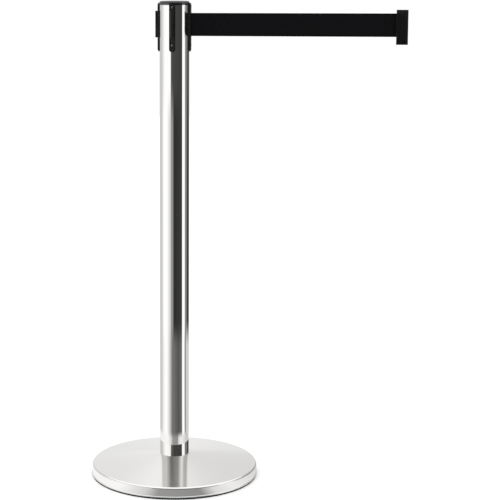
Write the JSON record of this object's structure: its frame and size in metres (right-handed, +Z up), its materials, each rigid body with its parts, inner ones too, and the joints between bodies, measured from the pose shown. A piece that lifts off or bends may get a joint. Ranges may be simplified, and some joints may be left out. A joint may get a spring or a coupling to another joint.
{
  "type": "retractable belt stanchion",
  "caption": "Crowd-control post on a weighted round base, with a spring-wound belt in its head, a belt clip and receivers on the other sides.",
  "frame": {"origin": "on the post's axis, on the floor under the base", "axes": "+Z up the post, +X along the belt as it is drawn out, -Y towards the front receiver"},
  "size_m": [0.6643, 0.36, 1.024],
  "materials": {
    "floor_rubber": "matte black rubber ring",
    "polished_cover": "polished stainless steel sheet",
    "cast_iron": "rough cast iron, painted dark grey",
    "zinc_steel": "zinc-plated steel",
    "chromed_tube": "mirror-polished steel tube",
    "cap_plastic": "smooth black ABS",
    "head_plastic": "satin black ABS",
    "bright_steel": "bright steel",
    "cassette_nylon": "dark grey nylon",
    "acetal": "natural acetal",
    "spring_steel": "blued spring steel",
    "brake_rubber": "friction rubber",
    "webbing": "black woven polyester webbing",
    "reel_plastic": "moulded nylon",
    "clip_plastic": "fine-grained black ABS",
    "blackened_steel": "blackened steel screws"
  },
  "bodies": {
    "stand": {"floor_ring": "floor_rubber", "base_cover": "polished_cover", "base_weight": "cast_iron", "base_washer": "zinc_steel", "base_bolt": "zinc_steel", "post_insert": "zinc_steel", "post_tube": "chromed_tube", "head_cap": "cap_plastic", "receiver_front": "head_plastic", "receiver_rear": "head_plastic", "receiver_left": "head_plastic", "belt_outlet": "head_plastic", "receiver_screws": "bright_steel", "cassette_frame": "cassette_nylon", "cassette_top": "cassette_nylon", "cassette_screws": "zinc_steel", "bush_lower": "acetal", "bush_upper": "acetal", "power_spring": "spring_steel", "spring_lid": "cassette_nylon", "brake_ring": "brake_rubber", "roller_pins": "bright_steel", "belt_lead": "webbing"},
    "reel": {"reel_axle": "bright_steel", "axle_clips": "spring_steel", "lower_flange": "reel_plastic", "reel_core": "reel_plastic", "upper_flange": "reel_plastic", "belt_anchor_pin": "bright_steel", "belt_roll": "webbing"},
    "front_roller": {"guide_roller_front": "acetal"},
    "rear_roller": {"guide_roller_rear": "acetal"},
    "clip": {"belt": "webbing", "belt_hem": "webbing", "belt_pin": "bright_steel", "clip_body": "clip_plastic", "clip_cover": "clip_plastic", "clip_screws": "blackened_steel"}
  },
  "joints": [
    {"name": "belt_pull", "type": "slide", "parent": "stand", "child": "clip", "axis": [1, 0, 0], "range_m": [-0.424, 1.5], "deforming": ["belt"]},
    {"name": "reel_spin", "type": "hinge", "parent": "stand", "child": "reel", "pos_m": [0, 0, 0.974], "axis": [0, 0, 1], "continuous": true, "deforming": ["power_spring"]},
    {"name": "front_roller_spin", "type": "hinge", "parent": "stand", "child": "front_roller", "pos_m": [0.02457, -0.00355, 0.974], "axis": [0, 0, 1], "continuous": true},
    {"name": "rear_roller_spin", "type": "hinge", "parent": "stand", "child": "rear_roller", "pos_m": [0.02457, 0.00355, 0.974], "axis": [0, 0, 1], "continuous": true}
  ],
  "couplings": [
    {"joint": "reel_spin", "follows": "belt_pull", "rad_per_m": -53.638},
    {"joint": "front_roller_spin", "follows": "belt_pull", "rad_per_m": -333.33},
    {"joint": "rear_roller_spin", "follows": "belt_pull", "rad_per_m": 333.33}
  ]
}
